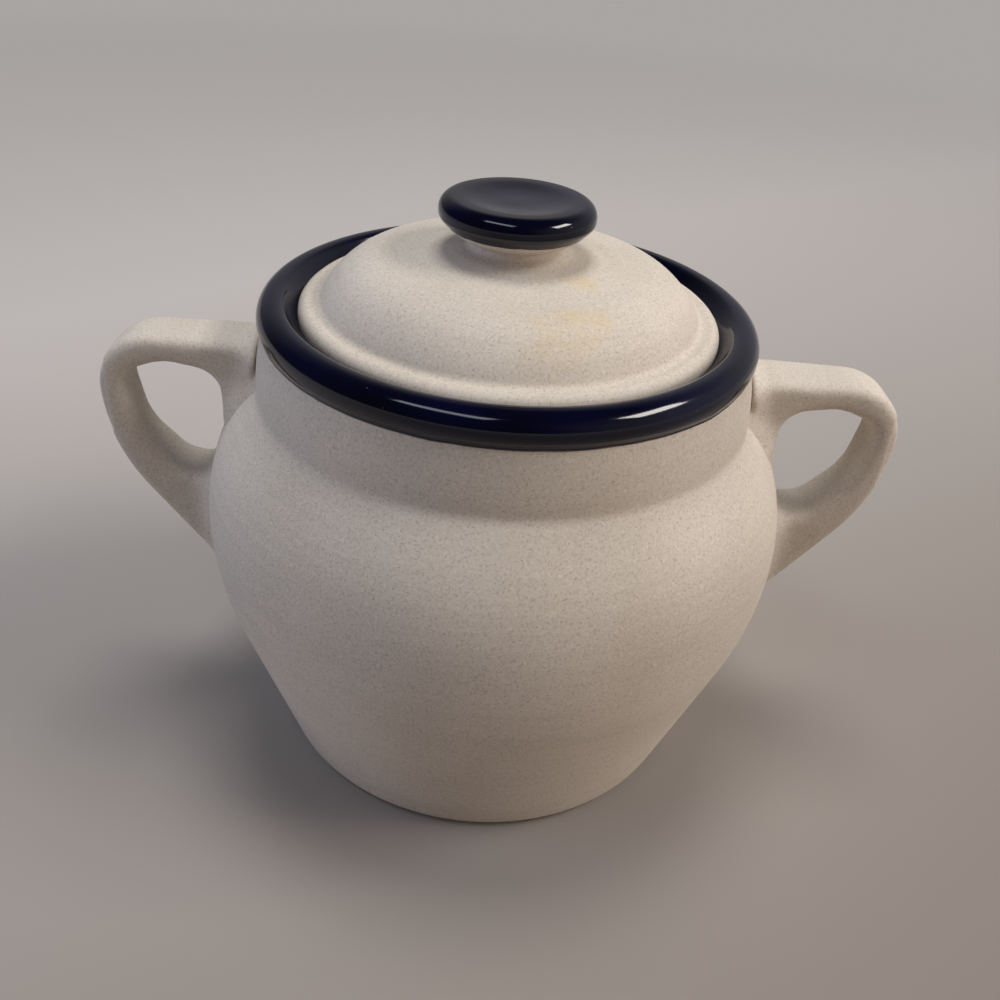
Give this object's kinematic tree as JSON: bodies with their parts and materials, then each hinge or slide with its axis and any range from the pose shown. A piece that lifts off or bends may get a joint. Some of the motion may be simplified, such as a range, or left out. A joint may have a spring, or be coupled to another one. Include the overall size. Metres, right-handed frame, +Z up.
{
  "type": "lidded bean pot",
  "caption": "Stoneware bean pot with two ear handles, a glazed rolled rim and a loose domed lid with a pinch knob that lifts off",
  "frame": {"origin": "centre of the foot, on the surface that the pot stands on", "axes": "+Z up along the pot's turning axis, +X out through one handle, the other handle on -X"},
  "size_m": [0.255, 0.1886, 0.1863],
  "materials": {
    "pot_body": "matte",
    "rim_glaze": "gloss",
    "interior_glaze": "gloss",
    "handle_right": "matte",
    "handle_left": "matte",
    "lid": "matte",
    "lid_underside_glaze": "gloss",
    "knob": "matte",
    "knob_glaze": "gloss"
  },
  "bodies": {
    "pot": {"pot_body": "pot_body", "rim_glaze": "rim_glaze", "interior_glaze": "interior_glaze", "handle_right": "handle_right", "handle_left": "handle_left"},
    "lid": {"lid": "lid", "lid_underside_glaze": "lid_underside_glaze", "knob": "knob", "knob_glaze": "knob_glaze"}
  },
  "joints": [
    {"name": "lid_lift", "type": "slide", "parent": "pot", "child": "lid", "axis": [0, 0, 1], "range_m": [0, 0.06]}
  ]
}
